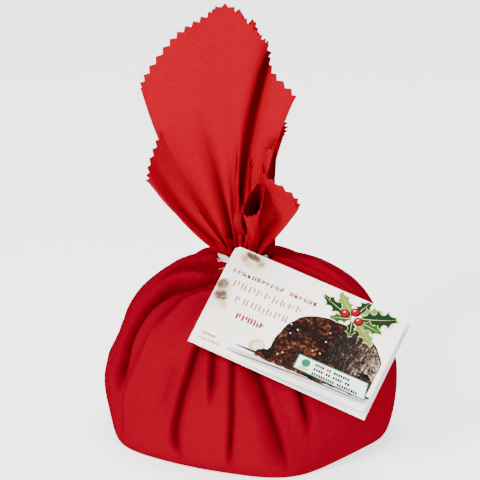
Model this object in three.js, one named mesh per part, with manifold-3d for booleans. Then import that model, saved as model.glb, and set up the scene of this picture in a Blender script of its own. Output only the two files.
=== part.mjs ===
// A steamed pudding tied up in a red cotton cloth, with its string and its folded card tag.
// Millimetres, +Z up, the front faces -Y and +X is on the right.
import * as THREE from 'three';
import Module from 'manifold-3d';

const wasm = await Module();
wasm.setup();

// the cloth, before it is tied
const clothSide = 496; // the square that it is cut to
const gatherReach = 206; // from its middle to the string, along the cloth
const clothShift = 8; // how far off centre the pudding sat
const shiftToward = 150; // towards the front corner, in degrees round the cloth
const edgeBows = [
  [5, 131.4, 2], // where the edge is stretched: how far, where round the cloth, width in degrees
  [3, 140.5, 2],
];
const clothWall = 1.6; // the cloth's few layers, as one wall
const petalHalf = 18.4; // half of a corner petal, in degrees round the cloth
const tipFan = 1.3; // how much more a flap spreads at its tip than at its foot
const neckTurn = 117; // from an angle round the cloth to the one round the neck

// the pudding
const bodyRadius = 81.5;
const widestHeight = 31;
const shoulderHeight = 104;
const baseRadius = 63;
const shoulderBulge = 1.9; // 2 is an ellipse, more is squarer
const crownBulge = 2.15;
const crownTurn = 77; // degrees, where the crown gives way to the neck
const baseEase = 1.5;
const lowerRings = 4;
const upperRings = 11;
const valleyCount = 20;
const valleyWidth = 3.2; // in degrees
const lowerShare = 0.2; // of the way up that a valley runs, the part below the widest height

// the neck, a little left of the middle
const neckX = -4.5;
const neckRadius = 12;
const neckFoot = 101;
const neckTop = 108;
const funnelDepth = 4;
const stringHeight = 104.8;

// string and tag
const stringThick = 1.4;
const stringTurns = 3;
const turnPitch = 0.85; // of the thickness, because the turns bite into each other
const knotAngle = 247; // round the neck, at the front left
const knotOut = 1.4; // from the middle of the turns
const knotRadii = [2.6, 2, 2.2];
const endReaches = [
  [-6, -1.5, 1.2],
  [-3, -5.5, 0.6],
];
const tagLength = 105.5;
const tagHeight = 64.6;
const cardThick = 0.6;
const leafGapes = [0.083, 0.038]; // the slope between the two leaves, at the foot and at the head
const frontLength = 103.8; // of the front leaf
const leafSeam = 0.02;
const clearance = 0.3; // between pieces that touch

const columnsPerSide = 25;
const columnSteps = 10;
const wallSteps = 4; // of a column, until the cloth has its full wall
const pinchedWall = 0.15; // as a share of the wall, at the string
const gridStep = 0.01;

const radians = THREE.MathUtils.degToRad;
const bump = (angle, centre, width) => {
  const apart = ((((angle - centre + 180) % 360) + 360) % 360) - 180;
  return Math.exp(-((apart / width) ** 2));
};
const round = (angle) => [Math.cos(radians(angle)), Math.sin(radians(angle))];

// ---- solids from point grids -------------------------------------------------------------

function evenRing(steps, make) {
  const ring = [];
  for (let i = 0; i < steps; i++) ring.push(make((i * 360) / steps));
  return ring;
}

// a closed skin over rings of points that all run the same way round, with a cap at each end
function closedSkin(rings, first, last) {
  const across = rings[0].length;
  const points = rings.flat().concat([first, last]);
  const faces = [];
  const foot = points.length - 2;
  const head = points.length - 1;
  const lastRing = (rings.length - 1) * across;
  for (let i = 0; i < across; i++) {
    const next = (i + 1) % across;
    faces.push([foot, next, i]);
    faces.push([head, lastRing + i, lastRing + next]);
    for (let row = 0; row < rings.length - 1; row++) {
      const low = row * across;
      const high = low + across;
      faces.push([low + i, low + next, high + next]);
      faces.push([low + i, high + next, high + i]);
    }
  }
  return toManifold(points, faces);
}

function toManifold(points, faces) {
  const vertProperties = new Float32Array(points.flat());
  const triVerts = new Uint32Array(faces.flat());
  return new wasm.Manifold(new wasm.Mesh({ numProp: 3, vertProperties, triVerts }));
}

function toMesh(solid, name, color, roughness) {
  const shape = solid.getMesh();
  const geometry = new THREE.BufferGeometry();
  const positions = [];
  for (let i = 0; i < shape.numVert; i++) {
    positions.push(...shape.vertProperties.slice(i * shape.numProp, i * shape.numProp + 3));
  }
  geometry.setAttribute('position', new THREE.Float32BufferAttribute(positions, 3));
  geometry.setIndex(Array.from(shape.triVerts));
  geometry.computeVertexNormals();
  const mesh = new THREE.Mesh(geometry, new THREE.MeshStandardMaterial({ color, roughness }));
  mesh.name = name;
  return mesh;
}

// ---- the ruffle above the string ---------------------------------------------------------
// Each line of the cloth that runs away from the string leans right (x) and back (y), by
// radians at its foot and at its tip, and a curl bends its last part more.
// A row is [degrees round the cloth, foot, tip, curl].

// one corner of the cloth: its outer side faces one way, it fans out and its tip curls
function cornerPetal(at, face, foot, tip, curl, fan) {
  const [acrossX, acrossY] = round(face + 90);
  return [-1, -0.5, 0, 0.5, 1].map((side) => {
    const spread = ([x, y], more) => [x + more * fan * side * acrossX, y + more * fan * side * acrossY];
    const part = 1 - 0.7 * Math.abs(side);
    const [curlX, curlY] = curl.map((bend) => bend * part);
    return [at + petalHalf * side, spread(foot, 1), spread(tip, 1.15), [curlX, curlY]];
  });
}

// the short middle of one side of the cloth: a small flap that flares out
function sideFlap(at, face, lean, flare, spread) {
  const [outX, outY] = round(face);
  const [acrossX, acrossY] = round(face + 90);
  const row = (angle, out, side, more) => [
    at + angle,
    [out * outX + side * acrossX, out * outY + side * acrossY],
    [(out + more) * outX + side * tipFan * acrossX, (out + more) * outY + side * tipFan * acrossY],
  ];
  return [
    row(-13, lean - 0.12, -spread / 2, 0.02),
    row(-4.5, lean + 0.1, -spread, flare),
    row(4.5, lean + 0.1, spread, flare),
    row(13, lean - 0.12, spread / 2, 0.02),
  ];
}

// the front, fold by fold from the left flap over the tall corner to the right flap
const frontFolds = [
  [77, [-0.2, 0.36], [-0.12, 0.46]],
  [87, [-0.52, 0.36], [-0.62, 0.52]],
  [96, [-0.42, 0.16], [-0.3, 0.26]],
  [104, [-0.66, 0.12], [-0.26, 0.15]],
  [111, [-1, -0.12], [-0.48, -0.2]],
  [118.5, [-0.6, -0.04], [-0.44, -0.04]],
  [122.5, [-0.34, 0.12], [-0.34, 0.16]],
  [127, [-0.7, 0.02], [-0.28, 0.04]],
  [131, [-0.24, -0.08], [-0.29, 0]],
  [135, [-0.04, -0.1], [-0.05, 0.02]],
  [139.3, [-0.08, -0.08], [0.31, 0]],
  [141.3, [-0.04, 0.12], [0.3, 0.05]],
  [145.8, [0.2, -0.1], [0.4, 0]],
  [149, [0.14, 0.02], [0.26, 0.06]],
  [153, [0.16, 0], [0.36, 0.02]],
  [157, [0.24, -0.22], [0.18, -0.1]],
  [161.5, [0.12, 0.02], [0.1, 0.08]],
  [167, [-0.02, -0.1], [0.02, 0]],
  [171.5, [0.18, -0.04], [0.14, 0]],
  [175.5, [0.1, -0.58], [0.1, -0.72]],
  [180.5, [-0.1, -0.58], [-0.16, -0.72]],
  [184, [0.1, -0.22], [0.14, -0.1]],
  [188, [0.6, -0.5], [0.42, -0.48]],
  [191.5, [0.58, -0.42], [0.36, -0.46]],
  [195.5, [0.12, -0.26], [0.04, -0.28]],
  [200, [0.12, 0.1], [0.02, 0.16]],
];

const ruffleFolds = [
  ...frontFolds,
  ...cornerPetal(225, 52, [0.1, 0.16], [-0.06, 0.2], [-0.5, 0.75], 0.17),
  ...sideFlap(270, 62, 0.02, 0.1, 0.09),
  ...cornerPetal(315, 88, [-0.04, 0.3], [0.02, 0.16], [0.1, 1.1], 0.24),
  ...sideFlap(358, 112, 0.42, 0.4, 0.22),
  ...cornerPetal(405, 112, [-0.04, 0.16], [-0.02, 0.22], [-0.02, 0.74], 0.24),
]
  .map(([angle, foot, tip, curl = [0, 0]]) => [((angle % 360) + 360) % 360, ...foot, ...tip, ...curl])
  .sort((a, b) => a[0] - b[0]);

// a smooth curve through the folds, all the way round
function leanAt(angle) {
  const count = ruffleFolds.length;
  const fold = (i) => {
    const row = ruffleFolds[((i % count) + count) % count];
    return [row[0] + 360 * Math.floor(i / count), ...row.slice(1)];
  };
  let here = 0;
  while (fold(here + 1)[0] <= angle) here++;
  while (fold(here)[0] > angle) here--;
  const [before, left, right, after] = [-1, 0, 1, 2].map((step) => fold(here + step));
  const width = right[0] - left[0];
  const u = (angle - left[0]) / width;
  return [1, 2, 3, 4, 5, 6].map((k) => {
    const slopeIn = (right[k] - before[k]) / (right[0] - before[0]);
    const slopeOut = (after[k] - left[k]) / (after[0] - left[0]);
    const stay = (1 + 2 * u) * (1 - u) ** 2;
    const go = u * u * (3 - 2 * u);
    const early = u * (1 - u) ** 2 * width * slopeIn;
    const late = u * u * (u - 1) * width * slopeOut;
    return left[k] * stay + right[k] * go + early + late;
  });
}

// how much cloth there is above the string, at an angle round the cloth
function clothAbove(angle) {
  const fromSide = radians(((((angle + 45) % 90) + 90) % 90) - 45);
  const cutEdge = clothSide / 2 / Math.cos(fromSide);
  const toEdge = edgeBows.reduce((sum, [far, at, width]) => sum + far * bump(angle, at, width), cutEdge);
  return toEdge - gatherReach + clothShift * Math.cos(radians(angle - shiftToward));
}

function ruffleColumn(angle) {
  const [footX, footY, tipX, tipY, curlX, curlY] = leanAt(angle);
  const step = clothAbove(angle) / columnSteps;
  const [outX, outY] = round(angle + neckTurn);
  const place = new THREE.Vector3(neckX + (neckRadius - 1) * outX, (neckRadius - 1) * outY, neckTop - 2);
  const path = [place.clone()];
  for (let i = 0; i < columnSteps; i++) {
    const along = (i + 0.5) / columnSteps;
    const lean = new THREE.Vector2(
      THREE.MathUtils.lerp(footX, tipX, along) + curlX * along ** 3,
      THREE.MathUtils.lerp(footY, tipY, along) + curlY * along ** 3,
    );
    const angleOff = lean.length();
    lean.setLength(Math.sin(angleOff));
    place.add(new THREE.Vector3(lean.x, lean.y, Math.cos(angleOff)).multiplyScalar(step));
    path.push(place.clone());
  }
  return path;
}

function ruffleAngles() {
  const angles = [];
  for (let side = 0; side < 4; side++) {
    for (let i = 0; i < columnsPerSide; i++) {
      const along = ((i + 0.5) / columnsPerSide) * 2 - 1;
      angles.push(side * 90 + THREE.MathUtils.radToDeg(Math.atan(along)));
    }
  }
  return angles;
}

// the inner face of the cloth along one line, thin where it is tied
function innerFace(before, column, after) {
  return column.slice(1).map((place, i) => {
    const to = column[Math.min(i + 2, column.length - 1)];
    const across = after[i + 1].clone().sub(before[i + 1]);
    const inward = to.clone().sub(column[i]).cross(across);
    const wall = clothWall * Math.min(1, pinchedWall + (i + 1) / wallSteps);
    return place.clone().add(inward.setLength(wall));
  });
}

// ---- the wrapped pudding, from the middle of its base up and into the ruffle --------------

// valleys between the gathered folds: [angle round the body, depth, how far down it runs]
const valleys = [];
for (let i = 0; i < valleyCount; i++) {
  const sway = 5 * Math.sin(i * 2.4);
  const depth = 2.6 + Math.sin(i * 3.7);
  const reach = i % 2 ? 0.42 : 0.86; // every other one is short
  valleys.push([(i * 360) / valleyCount + sway, depth, reach]);
}

function foldDepth(angle, upTo) {
  let depth = 0;
  for (const [at, deep, reach] of valleys) {
    const share = THREE.MathUtils.smoothstep(upTo, 1 - reach, 1.15 - reach);
    depth += deep * share * bump(angle, at, valleyWidth);
  }
  return depth;
}

// the base isn't round: it spreads at the front and at both sides
// [how far, angle round the body, width in degrees]
const baseSpread = [
  [11, 286, 22],
  [12, 196, 24],
  [7, 350, 16],
  [6, 20, 30],
  [5, 110, 40],
];
const footRadius = (angle) =>
  baseSpread.reduce((sum, [far, at, width]) => sum + far * bump(angle, at, width), baseRadius);
const frontFlat = 1.5; // how much less the body reaches at its front and back than at its sides
const wideRadius = (angle) => bodyRadius - frontFlat * (1 - bump(angle, 180, 40) - bump(angle, 5, 40));

function bodyPoint(angle, radius, height, upTo) {
  const [x, y] = round(angle);
  const shift = neckX * THREE.MathUtils.clamp((height - 40) / (shoulderHeight - 40), 0, 1);
  const reach = radius - foldDepth(angle, upTo);
  return [shift + reach * x, reach * y, height];
}

function wrappedPudding() {
  const angles = ruffleAngles();
  const rings = [];
  const addRing = (make) => rings.push(angles.map((angle) => make(angle + neckTurn)));
  addRing((angle) => bodyPoint(angle, footRadius(angle) - baseEase, 0, 0));
  for (let i = 1; i <= lowerRings; i++) {
    const turn = ((i / lowerRings) * Math.PI) / 2;
    const height = widestHeight * (1 - Math.cos(turn));
    addRing((angle) => {
      const radius = THREE.MathUtils.lerp(footRadius(angle), wideRadius(angle), Math.sin(turn));
      return bodyPoint(angle, radius, height, (lowerShare * i) / lowerRings);
    });
  }
  for (let i = 1; i <= upperRings; i++) {
    const turn = radians((crownTurn * i) / upperRings);
    const rise = (shoulderHeight - widestHeight) * Math.sin(turn) ** (2 / crownBulge);
    const upTo = lowerShare + ((1 - lowerShare) * i) / upperRings;
    addRing((angle) => {
      const radius = wideRadius(angle) * Math.cos(turn) ** (2 / shoulderBulge);
      return bodyPoint(angle, radius, widestHeight + rise, upTo);
    });
  }
  addRing((angle) => {
    const [x, y] = round(angle);
    return [neckX + neckRadius * x, neckRadius * y, neckFoot];
  });
  const columns = angles.map(ruffleColumn);
  const count = columns.length;
  for (let row = 0; row <= columnSteps; row++) {
    rings.push(columns.map((column) => column[row].toArray()));
  }
  const inner = columns.map((column, i) =>
    innerFace(columns[(i + count - 1) % count], column, columns[(i + 1) % count]),
  );
  for (let row = columnSteps - 1; row >= 0; row--) {
    rings.push(inner.map((column) => column[row].toArray()));
  }
  return closedSkin(rings, [0, 0, 0], [neckX, 0, neckTop + funnelDepth]);
}

// ---- the string round the neck -----------------------------------------------------------

function neckString() {
  const around = 30;
  const ringRadius = neckRadius + 3 * clearance + stringThick / 2;
  const turns = [];
  for (let i = 0; i < stringTurns; i++) {
    const height = stringHeight + (i - (stringTurns - 1) / 2) * stringThick * turnPitch;
    turns.push(torus(ringRadius, height, around));
  }
  const [knotX, knotY] = round(knotAngle);
  const knotReach = ringRadius + knotOut;
  const middle = [neckX + knotReach * knotX, knotReach * knotY, stringHeight];
  const ends = endReaches.map((reach) => {
    const from = new THREE.Vector3(...middle);
    return rod(from, from.clone().add(new THREE.Vector3(...reach)), stringThick / 2);
  });
  return wasm.Manifold.union([...turns, ball(middle, knotRadii), ...ends]);
}

function torus(radius, height, around) {
  const section = 6;
  const points = [];
  const faces = [];
  for (let i = 0; i < around; i++) {
    const [x, y] = round((i * 360) / around);
    for (let k = 0; k < section; k++) {
      const [out, up] = round((k * 360) / section);
      const reach = radius + (stringThick / 2) * out;
      points.push([neckX + reach * x, reach * y, height + (stringThick / 2) * up]);
      const next = ((i + 1) % around) * section;
      const beside = (k + 1) % section;
      faces.push([i * section + k, next + k, next + beside]);
      faces.push([i * section + k, next + beside, i * section + beside]);
    }
  }
  return toManifold(points, faces);
}

function ball(centre, radii) {
  const rings = [];
  for (let i = 1; i < 6; i++) {
    const [rise, out] = [-Math.cos((i / 6) * Math.PI), Math.sin((i / 6) * Math.PI)];
    rings.push(
      evenRing(12, (angle) => {
        const [x, y] = round(angle);
        return [centre[0] + radii[0] * out * x, centre[1] + radii[1] * out * y, centre[2] + radii[2] * rise];
      }),
    );
  }
  const foot = [centre[0], centre[1], centre[2] - radii[2]];
  const head = [centre[0], centre[1], centre[2] + radii[2]];
  return closedSkin(rings, foot, head);
}

function rod(from, to, radius) {
  const along = to.clone().sub(from).normalize();
  const side = new THREE.Vector3(0, 1, 0).cross(along).normalize();
  const up = along.clone().cross(side);
  const ringAt = (place) =>
    evenRing(8, (angle) => {
      const [x, y] = round(angle);
      return place.clone().addScaledVector(side, radius * x).addScaledVector(up, radius * y).toArray();
    });
  return closedSkin([ringAt(from), ringAt(to)], from.toArray(), to.toArray());
}

// ---- the folded card tag -----------------------------------------------------------------

const tagRight = new THREE.Vector3(0.9074, -0.2357, -0.348).normalize(); // it lies on the slope
const tagFront = new THREE.Vector3(0.098, -0.6865, 0.7205).projectOnPlane(tagRight).normalize();
const tagUp = tagFront.clone().cross(tagRight).normalize();
const tagMiddle = new THREE.Vector3(26.2, -62.3, 81.6);
const pullStart = 0.3; // how far towards the tied corner the card starts to bend back
const pullDepth = 11;
const pullWay = new THREE.Vector3(0, 0.94, -0.342); // the way that the tied corner bends
const cornerShare = [0.55, 0.9]; // how much along and up count towards the tied corner

// a place on the card: along from its fold, up from its lower edge, and out from its rear leaf
function tagPlace(along, up, out) {
  const towardTie = cornerShare[0] - along / tagLength + cornerShare[1] * (up / tagHeight - 0.5);
  const pulled = Math.max(0, towardTie - pullStart) / (1 - pullStart);
  return tagMiddle
    .clone()
    .addScaledVector(tagRight, along - tagLength / 2)
    .addScaledVector(tagUp, up - tagHeight / 2)
    .addScaledVector(tagFront, out)
    .addScaledVector(pullWay, pullDepth * pulled ** 2)
    .toArray();
}

// round both leaves at one height: out along the rear one, back, and the same on the front one
function tagOutline(upShare) {
  const alongSteps = 10;
  const stops = [];
  for (let i = 0; i <= alongSteps; i++) {
    stops.push(cardThick + (i / alongSteps) * (tagLength - cardThick));
  }
  const back = stops.slice().reverse();
  const frontStops = stops.map((along) => (along * frontLength) / tagLength);
  const gape = leafGapes[0] + (leafGapes[1] - leafGapes[0]) * upShare;
  const frontLeaf = (along) => cardThick + leafSeam + along * gape;
  return [
    [0, 0],
    ...stops.map((along) => [along, 0]),
    ...back.map((along) => [along, cardThick]),
    ...frontStops.slice(1).map((along) => [along, frontLeaf(along)]),
    ...frontStops.reverse().map((along) => [along, frontLeaf(along) + cardThick]),
    [0, 2 * cardThick + leafSeam],
  ];
}

function tagCard() {
  const upSteps = 6;
  const outline = tagOutline(0);
  const across = outline.length;
  const points = [];
  const faces = [];
  for (let j = 0; j <= upSteps; j++) {
    for (const [along, out] of tagOutline(j / upSteps)) {
      points.push(tagPlace(along, (j / upSteps) * tagHeight, out));
    }
  }
  for (let low = 0; low < upSteps * across; low += across) {
    for (let i = 0; i < across; i++) {
      const next = (i + 1) % across;
      faces.push([low + i, low + across + next, low + next]);
      faces.push([low + i, low + across + i, low + across + next]);
    }
  }
  const top = upSteps * across;
  const flat = outline.map(([x, y]) => new THREE.Vector2(x, y));
  for (const [a, b, c] of THREE.ShapeUtils.triangulateShape(flat, [])) {
    faces.push([a, b, c]);
    faces.push([top + a, top + c, top + b]);
  }
  return toManifold(points, faces);
}

// ---- the whole thing ---------------------------------------------------------------------

const pudding = new THREE.Group();
pudding.add(toMesh(wrappedPudding(), 'wrapped_pudding', 0xc8142a, 0.75));
pudding.add(toMesh(neckString(), 'neck_string', 0xe6d3c4, 0.85));
pudding.add(toMesh(tagCard(), 'tag_card', 0xf1ebe2, 0.5));

const onGrid = (value) => Math.round(value / gridStep) * gridStep;

// the box of the whole thing is centred over the origin and stands on z = 0
const bounds = new THREE.Box3().setFromObject(pudding);
const centre = bounds.getCenter(new THREE.Vector3());
for (const mesh of pudding.children) {
  mesh.position.set(-onGrid(centre.x), -onGrid(centre.y), -onGrid(bounds.min.z));
}

export default pudding;
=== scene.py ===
import math
import bpy
import numpy as np
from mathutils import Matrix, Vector
from mathutils.geometry import delaunay_2d_cdt


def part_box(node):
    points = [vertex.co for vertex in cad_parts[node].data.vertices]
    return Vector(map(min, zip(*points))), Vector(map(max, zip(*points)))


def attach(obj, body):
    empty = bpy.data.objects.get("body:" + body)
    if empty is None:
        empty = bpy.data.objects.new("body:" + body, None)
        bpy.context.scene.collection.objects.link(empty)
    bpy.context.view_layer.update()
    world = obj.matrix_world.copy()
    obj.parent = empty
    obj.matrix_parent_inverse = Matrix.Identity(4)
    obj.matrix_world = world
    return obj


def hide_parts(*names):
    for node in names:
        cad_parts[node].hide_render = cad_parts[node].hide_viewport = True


# A steamed pudding tied up in a red cotton cloth, with its string and its folded card tag.
# Sizes are in millimetres in the dictionaries and in metres in the meshes.

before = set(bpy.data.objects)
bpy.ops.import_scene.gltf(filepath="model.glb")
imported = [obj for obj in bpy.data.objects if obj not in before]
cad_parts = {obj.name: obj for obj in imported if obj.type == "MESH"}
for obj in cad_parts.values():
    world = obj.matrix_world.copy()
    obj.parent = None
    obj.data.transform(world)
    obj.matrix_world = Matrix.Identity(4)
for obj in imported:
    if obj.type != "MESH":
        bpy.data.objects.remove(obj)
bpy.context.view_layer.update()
mm = 0.001

print("places from the frame")
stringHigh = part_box("neck_string")[1]
tie = {
    "radius": 12.0,  # of the cloth where it is tied
    "aside": -4.5,  # the neck is a little left of the pudding's middle
    "height": 104.8,  # of the middle turn of the string
    "turn": 117.0,  # degrees from an angle round the cloth to one round the neck
    "gap": 0.9,  # between the cloth and the string
    "stringThick": 1.4,
    "ringSides": 30,
    # the cloth's reach and height from the tie to the crown
    "under": ((11.6, 105.6), (11.9, 104.6), (12.1, 103.8), (12.5, 103.1), (14.2, 102.7)),
}
ringReach = tie["radius"] + tie["gap"] + tie["stringThick"] / 2  # to the middle of the string
ringOuter = ringReach + tie["stringThick"] / 2
# The string's solid has a corner on its right and a flat at its back.
halfStep = math.radians(180 / tie["ringSides"])
puddingX = stringHigh.x / mm - ringOuter - tie["aside"]
puddingY = stringHigh.y / mm - ringOuter * math.cos(halfStep)
origin = np.array([puddingX, puddingY, 0.0])  # the middle of the pudding's base


def smooth(value, low, high):
    t = np.clip((np.asarray(value, float) - low) / (high - low), 0, 1)
    return t * t * (3 - 2 * t)


def bump(angle, centre, width):
    apart = (np.asarray(angle) - centre + 180) % 360 - 180
    return np.exp(-((apart / width) ** 2))


def lengthOf(vectors):
    return np.linalg.norm(vectors, axis=-1, keepdims=True)


def unit(vectors):
    return vectors / np.maximum(lengthOf(vectors), 1e-9)


def toScene(made):
    bpy.context.scene.collection.objects.link(made)
    return made


def makeMesh(name, points, faces, materials, flat, sharp, faceMaterial=None):
    # points in millimetres from the middle of the base, and flat as one (u, v) a point
    mesh = bpy.data.meshes.new(name)
    mesh.from_pydata(((points + origin) * mm).tolist(), [], faces)
    for material in materials:
        mesh.materials.append(material)
    mesh.polygons.foreach_set("use_smooth", [True] * len(mesh.polygons))
    if faceMaterial is not None:
        mesh.polygons.foreach_set("material_index", faceMaterial)
    corners = np.zeros(len(mesh.loops), np.int32)
    mesh.loops.foreach_get("vertex_index", corners)
    layer = mesh.uv_layers.new(name="flatCut")
    layer.data.foreach_set("uv", (np.asarray(flat, float)[corners] * mm).ravel())
    mesh.set_sharp_from_angle(angle=math.radians(sharp))
    mesh.validate()
    mesh.update()
    return toScene(bpy.data.objects.new(name, mesh))


print("camera and lights")
studio = {
    "distance": 3000,
    "elevation": 20,
    "aimAside": -6.4,
    "aimHeight": 112.8,
    "seen": 266.4,  # the width that the camera takes in at the aim
    "sensor": 36,
    "world": 0.2,  # the strength of the even light from all round
    "lampAim": (0, 0, 0.1),
}
aim = (np.array([studio["aimAside"], 0, studio["aimHeight"]]) + origin) * mm
rise = math.radians(studio["elevation"])
cameraData = bpy.data.cameras.new("camera")
cameraData.sensor_width = studio["sensor"]
cameraData.lens = studio["sensor"] * studio["distance"] / studio["seen"]
cameraData.clip_start, cameraData.clip_end = 0.05, 20
camera = toScene(bpy.data.objects.new("camera", cameraData))
back = Vector((0, -math.cos(rise), math.sin(rise)))
camera.location = Vector(aim) + back * studio["distance"] * mm
camera.rotation_euler = (-back).to_track_quat("-Z", "Y").to_euler()
bpy.context.scene.camera = camera

lamps = {
    # name: (place in metres, size in metres, watts, colour)
    "key": ((-0.75, -1.15, 1.05), 0.5, 60, (1.0, 0.98, 0.95)),
    "fill": ((1.1, -1.3, 0.5), 1.0, 15, (0.97, 0.98, 1.0)),
    "top": ((0.1, 0.1, 1.5), 0.9, 34, (1.0, 1.0, 1.0)),
}


for lampName, (place, size, watts, colour) in lamps.items():
    light = bpy.data.lights.new(lampName, "AREA")
    light.shape, light.size = "SQUARE", size
    light.energy, light.color = watts, colour
    lamp = toScene(bpy.data.objects.new(lampName, light))
    lamp.location = place
    toward = Vector(studio["lampAim"]) - lamp.location
    lamp.rotation_euler = toward.to_track_quat("-Z", "Y").to_euler()

world = bpy.data.worlds.new("studio")
world.use_nodes = True
background = world.node_tree.nodes["Background"].inputs
background["Color"].default_value = (1, 1, 1, 1)
background["Strength"].default_value = studio["world"]
bpy.context.scene.world = world


class Nodes:
    # adds nodes to a tree, and links their inputs or sets them
    def __init__(self, tree):
        self.tree = tree

    def put(self, socket, value):
        if isinstance(value, bpy.types.NodeSocket):
            self.tree.links.new(value, socket)
        else:
            socket.default_value = value

    def node(self, kind, inputs=None, **settings):
        made = self.tree.nodes.new(kind)
        for key, value in settings.items():
            setattr(made, key, value)
        for key, value in (inputs or {}).items():
            self.put(made.inputs[key], value)
        return made

    def math(self, operation, a, b=0.0, c=0.0):
        return self.node("ShaderNodeMath", {0: a, 1: b, 2: c}, operation=operation).outputs[0]


class Shader(Nodes):
    def __init__(self, name, roughness, specular=0.5):
        self.material = bpy.data.materials.new(name)
        self.material.use_nodes = True
        super().__init__(self.material.node_tree)
        self.inputs = self.tree.nodes["Principled BSDF"].inputs
        self.put(self.inputs["Roughness"], roughness)
        self.put(self.inputs["Specular IOR Level"], specular)

    def painted(self, colour):
        self.put(self.inputs["Base Color"], colour)
        return self.material

    def mapped(self, vector, **inputs):
        return self.node("ShaderNodeMapping", {"Vector": vector, **inputs}).outputs[0]

    def uv(self, scale=(1, 1, 1), turn=0):
        place = self.node("ShaderNodeUVMap", uv_map="flatCut").outputs[0]
        return self.mapped(place, Scale=scale, Rotation=(0, 0, turn))

    def object(self):
        return self.node("ShaderNodeTexCoord").outputs["Object"]

    def length(self, vector):
        return self.node("ShaderNodeVectorMath", {0: vector}, operation="LENGTH").outputs["Value"]

    def ranged(self, value, lowIn, highIn, lowOut, highOut, **settings):
        inputs = {"Value": value, "From Min": lowIn, "From Max": highIn, "To Min": lowOut, "To Max": highOut}
        return self.node("ShaderNodeMapRange", inputs, **settings).outputs[0]

    def noise(self, vector, scale, detail=2, rough=0.5):
        inputs = {"Vector": vector, "Scale": scale, "Detail": detail, "Roughness": rough}
        return self.node("ShaderNodeTexNoise", inputs).outputs[0]

    def ramp(self, factor, stops):
        made = self.node("ShaderNodeValToRGB", {"Fac": factor})
        bar = made.color_ramp
        while len(bar.elements) < len(stops):
            bar.elements.new(0.5)
        for element, (place, colour) in zip(bar.elements, stops):
            element.position = place
            element.color = (*colour, 1)
        return made.outputs["Color"]

    def mix(self, factor, a, b, blend="MIX"):
        made = self.node("ShaderNodeMix", data_type="RGBA", blend_type=blend)
        for socket, value in zip([made.inputs[0], made.inputs[6], made.inputs[7]], [factor, a, b]):
            self.put(socket, (*value, 1) if isinstance(value, tuple) and len(value) == 3 else value)
        return made.outputs[2]

    def bump(self, height, distance, strength):
        inputs = {"Height": height, "Distance": distance, "Strength": strength}
        self.put(self.inputs["Normal"], self.node("ShaderNodeBump", inputs).outputs[0])


fabric = {
    "thread": 0.42,  # mm from one thread to the next
    # painted light: the same red cotton is painted paler on the ruffle above the tie, where more light falls,
    # and darker on the body
    "ruffleLitColour": (0.205, 0.0002, 0.0062),
    "bodyShadedColour": (0.150, 0.0001, 0.0064),
    "litChange": (0.19, 0.23),  # metres from the middle, along the cloth, over which the painted light changes from the darker body to the paler ruffle
    "roughness": 0.78,
    "slub": (60, 1500),  # how often a metre a thread's thickness changes, along it and across it
    "slubTint": 0.07,  # how much paler and darker it makes the cloth
    "rumple": 45,  # how often the cloth rises and falls, a metre
    "relief": 0.00022,  # metres
    "creaseShadeStrength": 0.85,  # how strongly the cloth is darkened in its creases: painted shade
    # the colour of that painted shade in the creases
    "creaseShadeColour": (0.02, 0.0, 0.001),
}


def clothMaterial():
    made = Shader("redCotton", fabric["roughness"], 0.0)
    threads = 1 / (fabric["thread"] * mm)
    place = made.node("ShaderNodeSeparateXYZ", {0: made.uv((threads, threads, 1))})
    across, along = (made.math("SINE", made.math("MULTIPLY", place.outputs[i], math.pi)) for i in (0, 1))
    few, many = fabric["slub"]
    warp, weft = (made.noise(made.uv((*often, 1)), 1.0) for often in ((few, many), (many, few)))
    slubs = made.math("ADD", warp, weft)
    rumple = made.noise(made.object(), fabric["rumple"], 3, 0.55)
    weave = made.math("MULTIPLY", across, along)
    height = made.math("MULTIPLY_ADD", weave, 0.1, made.math("MULTIPLY", slubs, 0.5))
    height = made.math("ADD", height, made.math("MULTIPLY", rumple, 3.0))
    made.bump(height, fabric["relief"], 0.6)
    # painted light: the cloth turns from the darker body colour to the paler ruffle colour above the tie
    litShare = made.ranged(made.length(made.uv()), *fabric["litChange"], 0, 1)
    base = made.mix(litShare, fabric["bodyShadedColour"], fabric["ruffleLitColour"])
    streak = made.ranged(slubs, 0.7, 1.3, 1 - fabric["slubTint"], 1 + fabric["slubTint"])
    shade = made.node("ShaderNodeCombineColor", {0: streak, 1: streak, 2: streak}).outputs[0]
    base = made.mix(1.0, base, shade, "MULTIPLY")
    # painted shade: the cloth is darkened along its creases by the point attribute made with the cloth
    paintedCreaseShade = made.node("ShaderNodeAttribute", attribute_name="paintedCreaseShade").outputs["Fac"]
    deep = made.math("MULTIPLY", paintedCreaseShade, fabric["creaseShadeStrength"])
    return made.painted(made.mix(deep, base, fabric["creaseShadeColour"]))


cloth = {
    "side": 496,  # the square that it is cut to
    "reach": 206,  # from its middle to the string, along the cloth
    "shift": 8,  # how far off centre the pudding sat
    "shiftToward": 150,
    "teethPerSide": 108,
    "toothDepth": 2.4,
    "thickness": 0.5,
    "ruffleRows": 56,
    "pleats": 44,  # the small ones that the string gathers
    "pleatDepth": 3.4,
    "pleatReach": 62,  # how far above the string they last
    "pinch": 7,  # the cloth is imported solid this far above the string
    "seed": 5,
    "rollOut": 3.6,  # how far the flap on the right rolls out over the string
    "rollDown": 9,
    "rollAt": (345, 26),  # degrees round the neck, half width
    "creaseShadeLine": 0.8,  # the width and the darkness of the painted shade line along a crease
    "bows": ((131.4, 5, 2.0), (140.5, 3, 2.0)),  # of the edge: degrees, by how much, half width
}
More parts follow.
